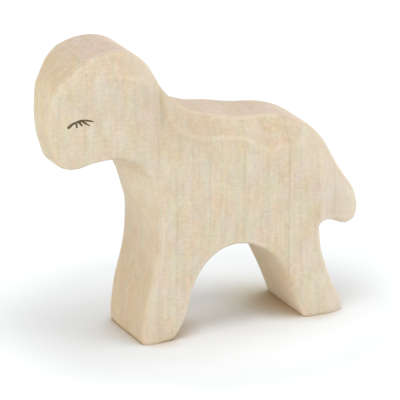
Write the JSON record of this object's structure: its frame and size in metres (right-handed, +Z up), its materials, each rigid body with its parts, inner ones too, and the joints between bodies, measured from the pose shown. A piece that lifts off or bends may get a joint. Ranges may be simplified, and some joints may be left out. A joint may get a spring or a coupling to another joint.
{
  "type": "sheep figurine",
  "caption": "Small standing sheep figurine sawn from a hardwood board, with knife-cut facets along its outline and a sleeping eye drawn on each cheek.",
  "frame": {"origin": "on the ground under the middle of the figure's length and thickness", "axes": "+Z up from the soles, -X to where the animal faces, +Y to its right side"},
  "size_m": [0.0844, 0.022, 0.0771],
  "materials": {
    "wood": "pale maple-like hardwood, sanded and left bare or thinly oiled, matt",
    "eye_ink": "brown drawing ink soaked into the wood, matt"
  },
  "bodies": {
    "root": {"body": "wood", "left_eye": "eye_ink", "right_eye": "eye_ink"}
  },
  "joints": []
}
